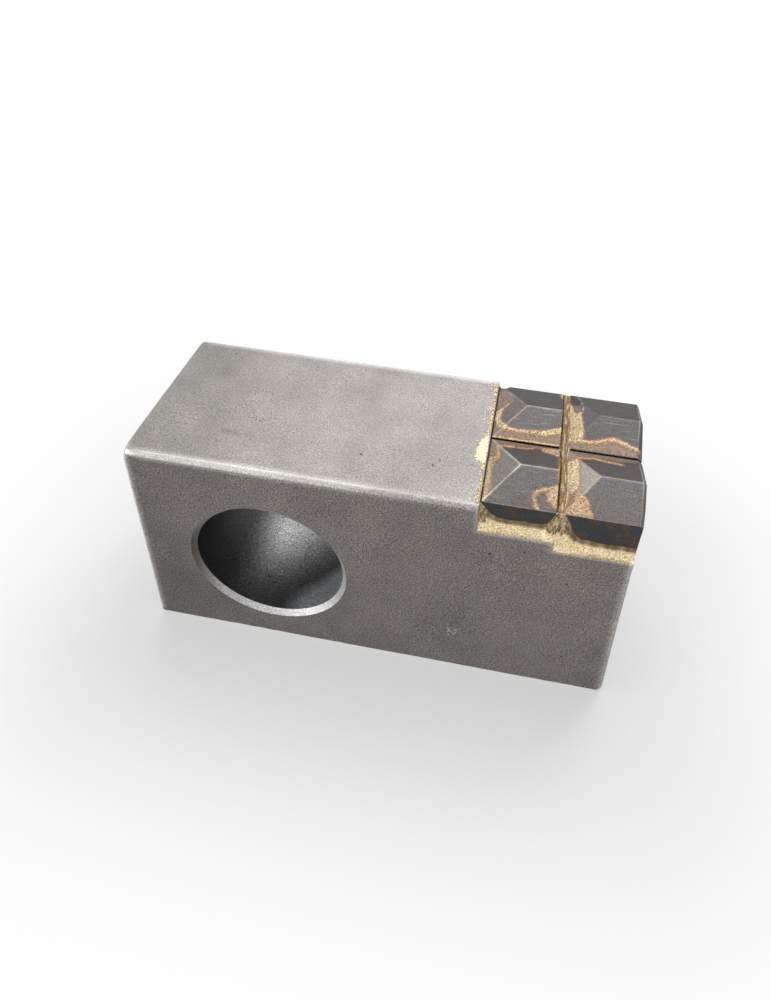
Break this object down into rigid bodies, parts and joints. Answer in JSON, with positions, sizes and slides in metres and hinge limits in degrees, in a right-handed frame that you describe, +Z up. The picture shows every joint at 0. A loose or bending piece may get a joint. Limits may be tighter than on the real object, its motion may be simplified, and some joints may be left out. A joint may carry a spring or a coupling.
{
  "type": "crusher hammer",
  "caption": "Steel crusher hammer block with a through pin bore near its plain end and hip-topped carbide tips brazed into a stepped pocket at its striking end.",
  "frame": {"origin": "middle of the pin bore, on its axis and halfway through the block", "axes": "+X towards the striking end with the tips, +Y along the pin bore, +Z up, the side the tips' roofs point to; the block lies on its plain underside"},
  "size_m": [0.1981, 0.072, 0.105],
  "materials": {
    "steel": "forged and shot-blasted, matt, fine grain",
    "carbide": "sintered cemented carbide, satin, heat-tinted beside the braze",
    "braze": "frozen brass braze, grainy, oxidised in the seams"
  },
  "bodies": {
    "root": {"hammer_body": "steel", "carbide_tip_inner_front": "carbide", "carbide_tip_inner_rear": "carbide", "carbide_tip_outer_front": "carbide", "carbide_tip_outer_rear": "carbide", "braze_filler": "braze"}
  },
  "joints": []
}
